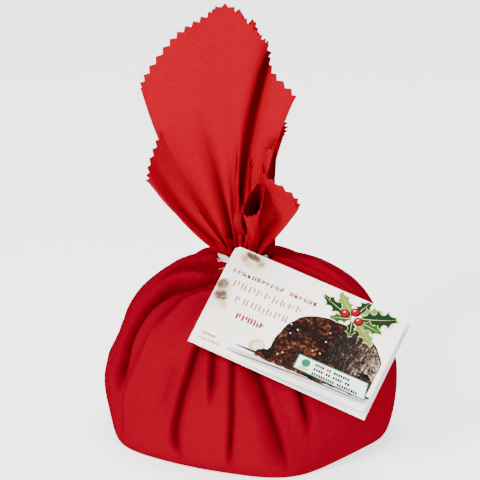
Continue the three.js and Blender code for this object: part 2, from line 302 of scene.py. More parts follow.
# The bold creases that run up from the string: degrees round the cloth, depth, half width in
# degrees and how far up they run.
creases = [
    (106, 2.0, 0.7, 60), (109.4, 1.8, 0.6, 44), (112.6, 2.6, 0.8, 72), (116, 3.0, 0.8, 92),
    (119.2, 2.2, 0.7, 60), (122, 3.2, 0.8, 104), (125, 3.8, 0.9, 124), (128.2, 2.6, 0.8, 74),
    (131.4, 3.4, 0.8, 100), (134.4, 2.4, 0.8, 66), (137, 3.0, 0.9, 84), (147.6, 2.6, 1.1, 74),
    (151.4, 1.8, 1.0, 50), (160, 2.0, 1.0, 40), (178, 0.9, 0.8, 22), (186, 1.8, 0.9, 30),
    (206, 2.2, 1.1, 44), (216, 2.6, 1.2, 70), (229, 2.4, 1.2, 76), (241, 2.2, 1.0, 46),
    (262, 1.8, 1.0, 30), (280, 1.8, 1.0, 34), (300, 2.6, 1.2, 62), (312, 2.8, 1.2, 84),
    (327, 2.4, 1.2, 60), (345, 1.8, 1.0, 34), (370, 1.8, 1.0, 34), (392, 2.4, 1.2, 60),
    (404, 2.8, 1.2, 84), (420, 2.2, 1.1, 48),
]
pudding = {
    "radius": 81.5,
    "widest": 31,  # the height of its widest part
    "shoulder": 104,  # the height that its crown would reach without the tie
    "foot": 63,  # the radius of the flat that it stands on
    "shoulderBulge": 1.9,  # 2 is an ellipse, and more is squarer
    "crownBulge": 2.15,
    "crownTurn": 77,  # degrees round the profile, where the crown meets the tie
    "crownRows": 76,
    "lowerRows": 14,
    "firstDown": 4,  # from the tie to the first row of the crown
    "spread": (  # of the foot: degrees, by how much, half width in degrees
        (286, 11, 22), (196, 12, 24), (350, 7, 16), (20, 6, 30), (110, 5, 40),
    ),
    # swells and hollows: degrees round the body, by how much, half width in degrees
    "rightCrown": (350, 5.0, 42),
    "tieSwell": (208, 3.0, 22),
    "slack": (184, 3.6, 24),
    "hip": (180, 1.6, 18),
    "softening": 2,  # times that the folds are rounded off
    "skin": 3.5,  # from the outside of the cloth to the hidden side of it
    "tuckShare": 1.4,  # of the spare cloth that the hidden side takes up, for both sides
    "tuckDepth": 30,  # at most
}

# Each line of the cloth above the string leans right and back, by radians at its foot and at
# its tip, and a curl bends its last part more: (degrees round the cloth, foot, tip, curl).
frontFolds = [
    (77, (-0.2, 0.36), (-0.12, 0.46)),
    (87, (-0.52, 0.36), (-0.62, 0.52)),
    (96, (-0.42, 0.16), (-0.3, 0.26)),
    (104, (-0.66, 0.12), (-0.26, 0.15)),
    (111, (-1.0, -0.12), (-0.48, -0.2)),
    (114.5, (-0.9, -0.24), (-0.5, -0.24)),
    (118.5, (-0.6, -0.04), (-0.44, -0.04)),
    (122.5, (-0.34, 0.12), (-0.34, 0.16)),
    (127, (-0.7, 0.02), (-0.28, 0.04)),
    (131, (-0.24, -0.08), (-0.29, 0)),
    (135, (-0.04, -0.1), (-0.05, 0.02)),
    (139.3, (-0.08, -0.08), (0.31, 0)),
    (141.3, (-0.04, 0.12), (0.3, 0.05)),
    (143.3, (0.1, -0.04), (0.22, 0.02)),
    (145.8, (0.2, -0.1), (0.4, 0)),
    (149, (0.14, 0.02), (0.26, 0.06)),
    (153, (0.16, 0), (0.36, 0.02)),
    (157, (0.24, -0.22), (0.18, -0.1)),
    (161.5, (0.12, 0.02), (0.1, 0.08)),
    (167, (-0.02, -0.1), (0.02, 0.0)),
    (171.5, (0.18, -0.04), (0.14, 0)),
    (175.5, (0.1, -0.58), (0.1, -0.72)),
    (180.5, (-0.1, -0.58), (-0.16, -0.72)),
    (184, (0.1, -0.22), (0.14, -0.1)),
    (188, (0.6, -0.5), (0.42, -0.48)),
    (191.5, (0.58, -0.42), (0.36, -0.46)),
    (195.5, (0.12, -0.26), (0.04, -0.28)),
    (200, (0.12, 0.1), (0.02, 0.16)),
]


def cornerPetal(at, face, foot, tip, curl, fan):
    acrossX, acrossY = math.cos(math.radians(face + 90)), math.sin(math.radians(face + 90))
    rows = []
    for side in (-1, -0.5, 0, 0.5, 1):
        part = 1 - 0.7 * abs(side)
        rows.append((
            at + 18.4 * side,
            (foot[0] + fan * side * acrossX, foot[1] + fan * side * acrossY),
            (tip[0] + 1.15 * fan * side * acrossX, tip[1] + 1.15 * fan * side * acrossY),
            (curl[0] * part, curl[1] * part),
        ))
    return rows


def sideFlap(at, face, lean, flare, spread):
    out = np.array([math.cos(math.radians(face)), math.sin(math.radians(face))])
    across = np.array([-out[1], out[0]])
    rows = []
    for angle, start, side, more in (
        (-13, lean - 0.12, -spread / 2, 0.02),
        (-4.5, lean + 0.1, -spread, flare),
        (4.5, lean + 0.1, spread, flare),
        (13, lean - 0.12, spread / 2, 0.02),
    ):
        foot = start * out + side * across
        tip = (start + more) * out + 1.3 * side * across
        rows.append((at + angle, tuple(foot), tuple(tip)))
    return rows


ruffleFolds = (
    frontFolds
    + cornerPetal(225, 52, (0.1, 0.16), (-0.06, 0.2), (-0.5, 0.75), 0.17)
    + sideFlap(270, 62, 0.02, 0.1, 0.09)
    + cornerPetal(315, 88, (-0.04, 0.3), (0.02, 0.16), (0.1, 1.1), 0.24)
    + sideFlap(358, 112, 0.42, 0.4, 0.22)
    + cornerPetal(405, 112, (-0.04, 0.16), (-0.02, 0.22), (-0.02, 0.74), 0.24)
)


def leanAt(angles):
    # a smooth curve through the folds, all the way round
    table = np.array(sorted(
        (row[0] % 360, *row[1], *row[2], *(row[3] if len(row) > 3 else (0, 0))) for row in ruffleFolds
    ))
    turn = np.zeros(7)
    turn[0] = 360
    table = np.concatenate([table[-2:] - turn, table, table[:2] + turn])
    at = np.asarray(angles) % 360
    left = np.searchsorted(table[:, 0], at, side="right") - 1
    before, here, there, after = (table[left + step] for step in (-1, 0, 1, 2))
    width = there[:, :1] - here[:, :1]
    u = (at[:, None] - here[:, :1]) / width
    slopeIn = (there - before) / (there[:, :1] - before[:, :1])
    slopeOut = (after - here) / (after[:, :1] - here[:, :1])
    made = here * (1 + 2 * u) * (1 - u) ** 2 + there * u * u * (3 - 2 * u)
    made += (u * (1 - u) ** 2 * width) * slopeIn + (u * u * (u - 1) * width) * slopeOut
    return made[:, 1:]


def edgeReach(angles):
    # from the cloth's middle to the roots of its teeth
    fromSide = np.radians((angles + 45) % 90 - 45)
    reach = (cloth["side"] / 2 - cloth["toothDepth"]) / np.cos(fromSide)
    for at, more, wide in cloth["bows"]:
        reach = reach + more * bump(angles, at, wide)
    return reach


# The cloth's points lie in columns that run out from its middle, one to each notch of its edge.
notches = (np.arange(cloth["teethPerSide"]) + 0.5) / cloth["teethPerSide"] * 2 - 1
columnAngles = np.concatenate([side * 90 + np.degrees(np.arctan(notches)) for side in range(4)])
columnCount = len(columnAngles)
neckAngles = columnAngles + tie["turn"]
around = np.stack([np.cos(np.radians(neckAngles)), np.sin(np.radians(neckAngles))], 1)


def pleatWave():
    # rounded ridges with sharp valleys between them, unevenly spaced
    angle = np.radians(columnAngles)
    phase = cloth["pleats"] * angle + 1.3 * np.sin(3 * angle + 1) + 1.1 * np.sin(7 * angle + 2)
    phase += 0.8 * np.sin(13 * angle + 0.5)
    return 1.6 * np.abs(np.sin(phase / 2)) ** 0.8 - 1


def levelRing(places, height):
    # a ring round the neck at one height
    return np.concatenate([places + [tie["aside"], 0], np.full((len(places), 1), height)], 1)


def ruffleSheet():
    rows = cloth["ruffleRows"]
    lean = leanAt(columnAngles)
    above = edgeReach(columnAngles) - cloth["reach"]
    above = above + cloth["shift"] * np.cos(np.radians(columnAngles - cloth["shiftToward"]))
    place = levelRing((tie["radius"] - 1) * around, tie["height"] + 1.2)
    path = [place]
    for i in range(rows):
        along = (i + 0.5) / rows
        bend = lean[:, :2] * (1 - along) + lean[:, 2:4] * along + lean[:, 4:] * along**3
        off = lengthOf(bend)
        step = np.concatenate([unit(bend) * np.sin(off), np.cos(off)], 1)
        place = place + step * (above / rows)[:, None]
        path.append(place)
    sheet = np.stack(path)  # row, column, place
    distance = np.linspace(0, 1, rows + 1)[:, None] * above[None, :]
    return sheet, distance


def sheetNormals(sheet):
    across = np.roll(sheet, -1, 1) - np.roll(sheet, 1, 1)
    along = np.gradient(sheet, axis=0)
    return unit(np.cross(across, along)), across, along


def addPleats(sheet, distance):
    normals, across, along = sheetNormals(sheet)
    direction = unit(along)
    sideways = lengthOf(across - (across * direction).sum(-1, keepdims=True) * direction)[..., 0]
    step = (np.roll(columnAngles, -1) - np.roll(columnAngles, 1)) % 360
    flatWidth = (cloth["reach"] + distance) * np.radians(step)[None, :]
    spare = np.sqrt(np.maximum((flatWidth / np.maximum(sideways, 0.05)) ** 2 - 1, 0))
    wide = sideways / 2 * columnCount / cloth["pleats"]
    depth = np.minimum(wide * spare * 0.3, cloth["pleatDepth"] * (1.35 - 0.75 * smooth(distance, 6, 30)))
    rng = np.random.default_rng(cloth["seed"])
    uneven = np.interp(columnAngles, np.linspace(-45, 315, 60), rng.random(60))
    reach = cloth["pleatReach"] * (0.75 + 0.5 * uneven)
    depth = depth * (1 - smooth(distance / reach[None, :], 0.25, 1.0))
    depth = depth * (0.35 + 0.65 * smooth(distance, 0, 8))
    moved = depth * pleatWave()[None, :]
    shade = np.zeros_like(moved)
    for at, deep, half, runs in creases:
        apart = np.abs((columnAngles - at + 180) % 360 - 180)
        cut = np.exp(-((apart / half) ** 1.4)) - 0.3 * np.exp(-(((apart - 2.4 * half) / half) ** 2))
        fade = smooth(distance, 2, 10) * (1 - smooth(distance / runs, 0.35, 1.0))
        moved = moved - deep * fade * cut[None, :]
        # painted shade: a dark line along each crease, darker for the deeper ones
        line = np.exp(-((apart / (cloth["creaseShadeLine"] * half)) ** 2))[None, :]
        shade = np.maximum(shade, cloth["creaseShadeLine"] * fade * min(1, deep / 3.5) * line)
    moved = sheet + normals * moved[..., None]
    # on the right the cloth rolls out over the string
    share = bump(neckAngles, *cloth["rollAt"])[None, :]
    outward = cloth["rollOut"] * share * smooth(distance, 0, 5) * (1 - smooth(distance, 16, 46))
    down = cloth["rollDown"] * share * np.exp(-(((distance - 7.5) / 2.6) ** 2))
    moved[..., :2] += outward[..., None] * around[None]
    moved[..., 2] -= down
    return moved, shade


# The body's folds: a path of (mm from the tie, degrees round the body), the depth, the width on
# its left and on its right, and the side that its lip is on (-1 left, 1 right, 0 none).
bodyFolds = [
    ([(4, 239), (7, 233.5), (12, 225), (14, 213), (17, 203), (25, 194), (40, 188), (54, 187), (72, 189),
      (100, 190), (116, 188)], 5.0, 5.5, 1.3, 1),
    ([(8, 246), (15, 235), (21, 223.5), (26, 213), (31, 203), (40, 198), (49, 196.5), (60, 198), (80, 200),
      (98, 201), (112, 199)], 5.0, 1.2, 5.0, -1),
    ([(14, 248), (16, 231.5), (22, 222.5), (32, 215.5), (39, 212.5), (51, 214.5), (63, 214.5), (75, 213.5),
      (86, 211), (102, 207), (118, 204.5), (130, 203)], 5.2, 7, 1.3, 1),
    ([(24, 246), (35, 237.5), (45, 234.5), (58, 232.5)], 2.4, 3, 3, 0),
    ([(69, 235), (83, 232), (95, 230), (114, 227)], 5.5, 11, 6, 0),
    ([(52, 248), (66, 245), (79, 243.5), (92, 241), (107, 238.5), (119, 237), (127, 238), (137, 240)],
     4.2, 0.9, 4.5, -1),
    ([(54, 253.5), (66, 253.5), (78, 254), (100, 253.5)], 3.6, 1.0, 3.2, -1),
    ([(50, 264), (67, 263.5), (88, 262.5), (109, 262), (129, 261), (140, 261)], 3.2, 1.3, 1.0, -1),
    ([(50, 271), (73, 273), (83, 275), (97, 277), (114, 280.5), (141, 285.5)], 6.5, 6, 1.0, 1),
    ([(60, 289), (89, 291), (100, 292), (119, 294.5)], 5.0, 1.6, 1.3, 1),
    ([(40, 304), (60, 306), (86, 309)], 2.6, 3, 2, 1),
    ([(6, 322), (30, 320), (60, 320), (92, 324)], 2.6, 4, 1.6, 1),
    ([(6, 340), (20, 338), (50, 338), (80, 341)], 2.4, 3, 1.4, 1),
    ([(5, 356), (16, 353.5), (28, 347), (50, 344)], 2.0, 2.4, 1.4, 1),
    ([(10, 372), (25, 366), (39, 357.5), (54, 352), (70, 350)], 2.2, 1.4, 3, -1),
    ([(100, 172), (106, 184), (111, 196), (117, 203)], 3.0, 4, 4, 0),
    ([(6, 218), (10, 205), (14, 190), (26, 176), (50, 170)], 3.2, 1.4, 3.5, -1),
    ([(18, 250), (26, 230), (36, 221), (50, 219), (66, 219.5)], 3.2, 4, 1.4, 1),
]
for turn in range(10, 175, 18):  # and those out of sight, round the back
    reachOut = 70 + (turn * 7) % 50
    leanOver = ((turn * 5) % 13) - 6
    deep = 2.4 + (turn % 7) / 4
    path = [(5, turn + 4), (30, turn + leanOver / 2), (60, turn), (reachOut, turn - leanOver / 2)]
    bodyFolds.append((path, deep, 5 if turn % 4 else 2, 1.6, 1))


def profile():
    # rows of (share of the foot, share of the widest radius, height), from the tie down
    rows = []
    for turn in np.linspace(pudding["crownTurn"], 0, pudding["crownRows"] + 1):
        turn = math.radians(turn)
        wide = math.cos(turn) ** (2 / pudding["shoulderBulge"])
        high = math.sin(turn) ** (2 / pudding["crownBulge"])
        rows.append((0, wide, pudding["widest"] + (pudding["shoulder"] - pudding["widest"]) * high))
    for i in range(1, pudding["lowerRows"] + 1):
        turn = (1 - i / pudding["lowerRows"]) * math.pi / 2
        share = math.sin(turn)
        rows.append((1 - share, share, pudding["widest"] * (1 - math.cos(turn))))
    return rows


def swell(angles, kind):
    at, high, wide = pudding[kind]
    return high * bump(angles, at, wide)


def footRadius(angle):
    radius = pudding["foot"]
    for at, more, wide in pudding["spread"]:
        radius = radius + more * bump(angle, at, wide)
    return radius


def wideRadius(angle):
    return pudding["radius"] - 1.5 * (1 - bump(angle, 180, 40) - bump(angle, 5, 40))


folding = {
    "step": 1.5,  # mm of a fold's path at a time
    "degree": 0.6,  # mm of path for each degree that it goes round the body
    "rounding": 3,  # times that its corners are rounded off
    "fadeIn": 14,  # mm, for a fold that starts further from the tie than the next value
    "fadeFrom": 12,
    "fadeOut": 22,
    "steepness": 1.6,
    "lip": 0.45,  # the lip's height, as a share of the depth
    "lipWidth": 1.7,  # as a share of the fold's narrower side
    "lipAway": 1.9,  # from the fold's middle, in widths of the lip
    "sharp": 2.5,  # a fold whose narrower side is under this has a painted shade line along it
    "line": 1.5,  # half width of that painted shade line
    "fullShadeLine": 5,  # the depth at which that painted shade line is at its darkest
    "draw": 0.72,  # how much the columns draw together at a fold
    "drawWidth": 3.2,
}


def foldDepth(path, deep, leftWidth, rightWidth, lip, down, angles, reaches):
    # how deep one fold is at each place of the body, with the lip that stands beside it, and the strength of
    # the painted shade line along it
    ends = np.array(path, float)
    scale = reaches * math.pi / 180
    span = np.abs(np.diff(ends[:, 0])) + folding["degree"] * np.abs(np.diff(ends[:, 1]))
    measure = np.concatenate([[0], np.cumsum(span)])
    steps = np.linspace(0, measure[-1], int(measure[-1] / folding["step"]) + 2)
    places = np.stack([np.interp(steps, measure, ends[:, i]) for i in (0, 1)], 1)
    for _ in range(folding["rounding"]):
        places[1:-1] = (places[:-2] + 2 * places[1:-1] + places[2:]) / 4
    nearest = np.full(angles.shape, 1e9)
    side = np.zeros(angles.shape)
    where = np.zeros(angles.shape)
    for k in range(len(places) - 1):
        low, high = places[k], places[k + 1]
        across = ((angles - low[1] + 180) % 360 - 180) * scale
        along = down - low[0]
        stepAcross, stepAlong = (high[1] - low[1]) * scale, high[0] - low[0]
        share = np.clip((across * stepAcross + along * stepAlong) / (stepAcross**2 + stepAlong**2), 0, 1)
        offAcross, offAlong = across - share * stepAcross, along - share * stepAlong
        far = np.hypot(offAcross, offAlong)
        closer = far < nearest
        nearest = np.where(closer, far, nearest)
        side = np.where(closer, np.sign(stepAlong * across - stepAcross * along), side)
        where = np.where(closer, steps[k] + share * (steps[k + 1] - steps[k]), where)
    left = smooth(measure[-1] - where, 0, min(folding["fadeOut"], measure[-1] / 2))
    if path[0][0] > folding["fadeFrom"]:
        left = left * smooth(where, 0, min(folding["fadeIn"], measure[-1] / 3))
    width = np.where(side < 0, leftWidth, rightWidth)
    narrow = min(leftWidth, rightWidth)
    # painted shade: a dark line along a sharp fold
    line = left * np.exp(-((nearest / folding["line"]) ** 2)) if narrow < folding["sharp"] else 0 * nearest
    groove = np.exp(-((nearest / width) ** folding["steepness"]))
    lipWidth = folding["lipWidth"] * narrow
    lipAt = folding["lipAway"] * lip * lipWidth
    ridge = np.exp(-(((nearest * side - lipAt) / lipWidth) ** 2)) if lip else 0
    return deep * left * (groove - folding["lip"] * ridge), line * min(1, deep / folding["fullShadeLine"])


def softened(field):
    # rounds a fold's edges off by about the distance from one point to the next
    for _ in range(pudding["softening"]):
        field = (np.roll(field, 1, 1) + 2 * field + np.roll(field, -1, 1)) / 4
        field[1:-1] = (field[:-2] + 2 * field[1:-1] + field[2:]) / 4
    return field


def bodySheet():
    # rows of places from the tie down to the middle of the base
    rows = profile()
    wave = pleatWave()
    top = [levelRing((reach + 0.6 * (wave - 1))[:, None] * around, height) for reach, height in tie["under"]]
    foot, wide, heights = np.array(rows).T
    evenReach = foot * pudding["foot"] + wide * pudding["radius"]
    outward, upward = -unit(np.stack([np.gradient(heights), -np.gradient(evenReach)], 1)).T
    steps = np.hypot(np.diff(evenReach), np.diff(heights))
    down = pudding["firstDown"] + np.concatenate([[0], np.cumsum(steps)])
    angles = np.repeat(neckAngles[None], len(rows), 0)
    for path, *_ in bodyFolds:  # the lines of the cloth draw together at each fold
        ends = np.array(path, float)
        at = np.interp(down, ends[:, 0], ends[:, 1])[:, None]
        begin, stop = max(ends[0, 0], 24), ends[-1, 0]
        share = smooth(down, begin, begin + 20) * smooth(-down, -stop - 16, -stop)
        apart = (neckAngles[None] - at + 180) % 360 - 180
        angles -= folding["draw"] * share[:, None] * apart * np.exp(-((apart / folding["drawWidth"]) ** 2))
    reaches = foot[:, None] * footRadius(angles) + wide[:, None] * wideRadius(angles)
    depth = np.zeros_like(angles)
    # the painted shade along the body's sharp folds
    shade = np.zeros_like(angles)
    for fold in bodyFolds:
        deep, line = foldDepth(*fold, down[:, None] + 0 * angles, angles, reaches)
        depth -= deep
        shade = np.maximum(shade, line)
    depth, shade = softened(depth), softened(shade)
    depth += (smooth(heights, 88, 102)[:, None]) * (0.9 * wave - 0.2)[None]
    crown = smooth(heights, 58, 84)[:, None] * (1 - 0.45 * smooth(heights, 92, 102)[:, None])
    depth += swell(angles, "rightCrown") * crown
    depth += swell(angles, "tieSwell") * smooth(heights, 95, 101)[:, None]
    slack = smooth(heights, 40, 56) * (1 - smooth(heights, 84, 97))
    depth -= swell(angles, "slack") * slack[:, None]
    depth += swell(angles, "hip") * np.exp(-(((heights - pudding["widest"]) / 10) ** 2))[:, None]
    high = heights[:, None]
    sway = 0.5 * np.sin(np.radians(3 * angles + 2.1 * high))
    sway = sway + 0.35 * np.sin(np.radians(7 * angles - 3.3 * high))
    depth += sway * (foot + wide)[:, None]
    depth *= smooth(high, -2, 16) * 0.85 + 0.15
    shift = tie["aside"] * np.clip((high - 40) / (pudding["shoulder"] - 40), 0, 1)
    reaches = reaches + depth * outward[:, None]
    x = shift + reaches * np.cos(np.radians(angles))
    y = reaches * np.sin(np.radians(angles))
    z = np.maximum(high + depth * (upward * (heights > 8))[:, None], 0)
    made = np.stack([x, y, z], 2)
    base = [made[-1] * [share, share, 0] for share in (0.985, 0.9, 0.6, 0.25)]
    shade = np.concatenate([np.zeros((len(top), columnCount)), shade, np.zeros((len(base), columnCount))])
    return np.concatenate([np.stack(top), made, np.stack(base)]), shade


def stitchRows(low, high, count):
    # quads between two rings, given the index of each one's first point
    i = np.arange(count)
    after = (i + 1) % count
    return np.stack([low + i, low + after, high + after, high + i], 1).tolist()


def toothTips(sheet, normals):
    # the tips of the pinked teeth, outside and inside, each between one column and the next
    edge, edgeNormals = sheet[-1], normals[-1]
    nextEdge = np.roll(edge, -1, 0)
    up = unit(sheet[-1] - sheet[-2])
    up = unit(up + np.roll(up, -1, 0))
    tipNormals = unit(edgeNormals + np.roll(edgeNormals, -1, 0))
    out = unit(np.cross(nextEdge - edge, tipNormals))
    out = out * np.sign((out * up).sum(-1, keepdims=True))
    tips = (edge + nextEdge) / 2 + out * cloth["toothDepth"]
    return tips, tips - tipNormals * cloth["thickness"]


def hiddenRings(body, alongBody):
    # The hidden side, with a quarter of the columns: a narrow way down through the tie, then
    # close under the outside, in tucks that take up the spare cloth of both sides.
    coarse = columnCount // 4
    rings = [levelRing(around[::4] * 1.2, height) for height in (106, 98)]
    for ring, flatReach in list(zip(body, alongBody))[::-1][8:-3:4]:
        some = ring[::4].copy()
        middle = np.array([some[:, 0].mean(), some[:, 1].mean(), 45.0])
        away = unit(some - middle)
        pitch = float(lengthOf(some - np.roll(some, 1, 0)).mean())
        spare = pudding["tuckShare"] * max(2 * math.pi * flatReach / coarse - pitch, 0)
        tuck = min(math.sqrt((pitch + 2 * spare) ** 2 - pitch**2), pudding["tuckDepth"])
        tucks = np.where(np.arange(coarse) % 2, tuck, 0)[:, None]
        some = some - away * (pudding["skin"] + tucks)
        some[:, 2] = np.clip(some[:, 2], 1.0, 97.5)
        rings.append(some)
    return rings


def buildCloth():
    sheet, distance = ruffleSheet()
    sheet, sheetShade = addPleats(sheet, distance)
    normals = sheetNormals(sheet)[0]
    tips = toothTips(sheet, normals)
    inner = sheet - normals * cloth["thickness"]
    pinched = smooth(distance, 0, cloth["pinch"])[..., None]
    packed = around * 1.2
    packed = np.concatenate([packed + [tie["aside"], 0], np.full((columnCount, 1), tie["height"] + 4)], 1)
    inner = packed[None] * (1 - pinched) + inner * pinched

    body, bodyShade = (rows[::-1] for rows in bodySheet())  # from the base up
    alongBody = np.cumsum([0] + [float(np.median(lengthOf(b - a))) for a, b in zip(body, body[1:])])
    alongBody = (alongBody + 16) / (alongBody[-1] + 16) * cloth["reach"]
    hidden = hiddenRings(body, alongBody)
    rings = [*body, *sheet, *inner[::-1]]
    points = np.concatenate([np.zeros((1, 3)), *rings, *tips, *hidden, [[0, 0, 1.0]]])

    count = columnCount
    coarse = count // 4
    ringStart = [1 + k * count for k in range(len(rings))]
    outerLast = len(body) + len(sheet) - 1
    tipStart = 1 + len(rings) * count
    innerTipStart, start = tipStart + count, tipStart + 2 * count
    faces = [(0, 1 + (i + 1) % count, 1 + i) for i in range(count)]
    for k in range(len(rings) - 1):
        if k != outerLast:
            faces += stitchRows(ringStart[k], ringStart[k + 1], count)
    outerEdge, innerEdge = ringStart[outerLast], ringStart[outerLast + 1]
    for i in range(count):
        after = (i + 1) % count
        faces.append((outerEdge + i, outerEdge + after, tipStart + i))
        faces.append((innerEdge + i, innerTipStart + i, innerEdge + after))
        faces.append((outerEdge + i, tipStart + i, innerTipStart + i, innerEdge + i))
        faces.append((tipStart + i, outerEdge + after, innerEdge + after, innerTipStart + i))
    for i in range(coarse):  # from four columns to one
        after = (i + 1) % coarse
        fine = [ringStart[-1] + (4 * i + k) % count for k in range(5)]
        faces += [(fine[k], fine[k + 1], start + (i if k < 2 else after)) for k in range(4)]
        faces.append((fine[2], start + after, start + i))
    for k in range(len(hidden) - 1):
        faces += stitchRows(start + k * coarse, start + (k + 1) * coarse, coarse)
    end = start + len(hidden) * coarse
    faces += [(end - coarse + i, end - coarse + (i + 1) % coarse, end) for i in range(coarse)]

    # where each point lies on the flat square
    turned = np.radians(columnAngles)
    heading = np.stack([np.cos(turned), np.sin(turned)], 1)
    flatBody = alongBody[:, None, None] * heading[None]
    flatRuffle = (cloth["reach"] + distance)[..., None] * heading[None]
    flatTips = ((flatRuffle[-1] + np.roll(flatRuffle[-1], -1, 0)) / 2) * 1.01
    flat = [np.zeros((1, 2)), *flatBody, *flatRuffle, *flatRuffle[::-1], flatTips, flatTips]
    flat = np.concatenate([*flat, np.zeros((coarse * len(hidden) + 1, 2))])
    # painted shade of each point, from the creases; none on the tie, the teeth and the hidden side
    shade = np.zeros(len(flat))
    known = np.concatenate([bodyShade.ravel(), sheetShade.ravel(), sheetShade[::-1].ravel()])
    shade[1:1 + len(known)] = known
    return points, faces, flat, shade


print("cloth")
points, faces, flat, shade = buildCloth()
puddingCloth = makeMesh("pudding_cloth", points, faces, [clothMaterial()], flat, 60)
# the painted crease shade, as a point attribute that the cloth's material reads
creaseShadeValues = puddingCloth.data.attributes.new("paintedCreaseShade", "FLOAT", "POINT").data
creaseShadeValues.foreach_set("value", shade.astype(np.float32))
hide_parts("wrapped_pudding")
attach(puddingCloth, "root")

cord = {
    "thick": tie["stringThick"],
    "plies": 3,
    "plyDepth": 0.3,  # how deep the grooves between the plies are
    "twist": 1250,  # radians a metre
    "turns": 3,
    "rise": 1.2,  # from one turn to the next
    "knotAt": 247,  # degrees round the neck
    "knot": (  # degrees on, how far out and how far up, from the middle turn
        (6, 1.2, -1.2), (-2, 2.2, 0.6), (-8, 1.0, 1.2), (-3, 0.4, -0.4), (4, 1.6, -0.8), (3, 2.6, 0.7),
        (-4, 2.8, 0.2),
    ),
    "step": 0.00035,  # metres from one ring of its mesh to the next
    "sides": 18,
    "strayFibres": 26,
    "strayRadius": 0.06,
    "fibres": 2600,
    "colour": (0.86, 0.70, 0.64),
    "seed": 11,
}


def cordMaterial():
    made = Shader("cottonString", 0.85, 0.2)
    fibres = made.noise(made.object(), cord["fibres"], 3, 0.6)
    made.bump(fibres, 0.00015, 0.7)
    shaded = tuple(0.55 * c for c in cord["colour"])
    return made.painted(made.ramp(fibres, [(0.25, shaded), (0.6, cord["colour"])]))


def ropeNodes(material):
    # sweeps a profile of plies along a curve, turning as it goes
    tree = bpy.data.node_groups.new("twistedRope", "GeometryNodeTree")
    sockets = {}
    given = {"Curve": "Geometry", "Radius": "Float", "Plies": "Int", "Groove": "Float", "Twist": "Float"}
    for name, kind in given.items():
        made = tree.interface.new_socket(name, in_out="INPUT", socket_type="NodeSocket" + kind)
        sockets[name] = made.identifier
    tree.interface.new_socket("Mesh", in_out="OUTPUT", socket_type="NodeSocketGeometry")
    rope = Nodes(tree)
    given = rope.node("NodeGroupInput").outputs
    step = {"Curve": given["Curve"], "Length": cord["step"]}
    even = rope.node("GeometryNodeResampleCurve", step, mode="LENGTH").outputs["Curve"]
    along = rope.node("GeometryNodeSplineParameter").outputs["Length"]
    turned = {"Curve": even, "Tilt": rope.math("MULTIPLY", along, given["Twist"])}
    tilted = rope.node("GeometryNodeSetCurveTilt", turned).outputs["Curve"]
    ring = rope.node("GeometryNodeCurvePrimitiveCircle", {"Resolution": cord["sides"], "Radius": 1.0})
    here = rope.node("GeometryNodeInputPosition").outputs[0]
    split = rope.node("ShaderNodeSeparateXYZ", {0: here}).outputs
    angle = rope.math("ARCTAN2", split[1], split[0])
    wave = rope.math("ABSOLUTE", rope.math("COSINE", rope.math("MULTIPLY", angle, given["Plies"])))
    groove = rope.math("MULTIPLY", given["Groove"], rope.math("SUBTRACT", 1.0, wave))
    lobe = rope.math("SUBTRACT", given["Radius"], groove)
    grown = rope.node("ShaderNodeVectorMath", operation="SCALE")
    rope.put(grown.inputs[0], here)
    rope.put(grown.inputs["Scale"], lobe)
    profile = {"Geometry": ring.outputs["Curve"], "Position": grown.outputs[0]}
    shaped = rope.node("GeometryNodeSetPosition", profile).outputs["Geometry"]
    swept = {"Curve": tilted, "Profile Curve": shaped, "Fill Caps": True}
    mesh = rope.node("GeometryNodeCurveToMesh", swept).outputs["Mesh"]
    for kind, inputs in (
        ("GeometryNodeSetShadeSmooth", {}), ("GeometryNodeRealizeInstances", {}),
        ("GeometryNodeSetMaterial", {"Material": material}),
    ):
        mesh = rope.node(kind, {"Geometry": mesh, **inputs}).outputs["Geometry"]
    rope.node("NodeGroupOutput", {"Mesh": mesh})
    return tree, sockets


def ropeAlong(name, path, radius, tree, sockets):
    # a plain mesh of the rope that follows a path of places
    curve = bpy.data.curves.new(name, "CURVE")
    curve.dimensions = "3D"
    spline = curve.splines.new("POLY")
    spline.points.add(len(path) - 1)
    spline.points.foreach_set("co", np.hstack([(path + origin) * mm, np.ones((len(path), 1))]).ravel())
    holder = toScene(bpy.data.objects.new(name, curve))
    modifier = holder.modifiers.new("rope", "NODES")
    modifier.node_group = tree
    modifier[sockets["Radius"]] = radius * mm
    modifier[sockets["Plies"]] = cord["plies"]
    modifier[sockets["Groove"]] = cord["plyDepth"] * mm
    modifier[sockets["Twist"]] = float(cord["twist"])
    graph = bpy.context.evaluated_depsgraph_get()
    mesh = bpy.data.meshes.new_from_object(holder.evaluated_get(graph), depsgraph=graph)
    bpy.data.objects.remove(holder)
    bpy.data.curves.remove(curve)
    return mesh


def curveThrough(knots, steps=12):
    # an open smooth curve through the knots
    knots = np.asarray(knots, float)
    ends = np.concatenate([2 * knots[:1] - knots[1:2], knots, 2 * knots[-1:] - knots[-2:-1]])
    made = []
    for k in range(1, len(ends) - 2):
        a, b, c, d = ends[k - 1 : k + 3]
        for t in np.linspace(0, 1, steps, endpoint=False):
            bent = (2 * a - 5 * b + 4 * c - d) * t**2 + (3 * b - a - 3 * c + d) * t**3
            made.append(0.5 * (2 * b + (c - a) * t + bent))
    made.append(knots[-1])
    return np.array(made)


def neckPlace(angle, reach, height):
    turn = math.radians(angle)
    return [tie["aside"] + reach * math.cos(turn), reach * math.sin(turn), height]


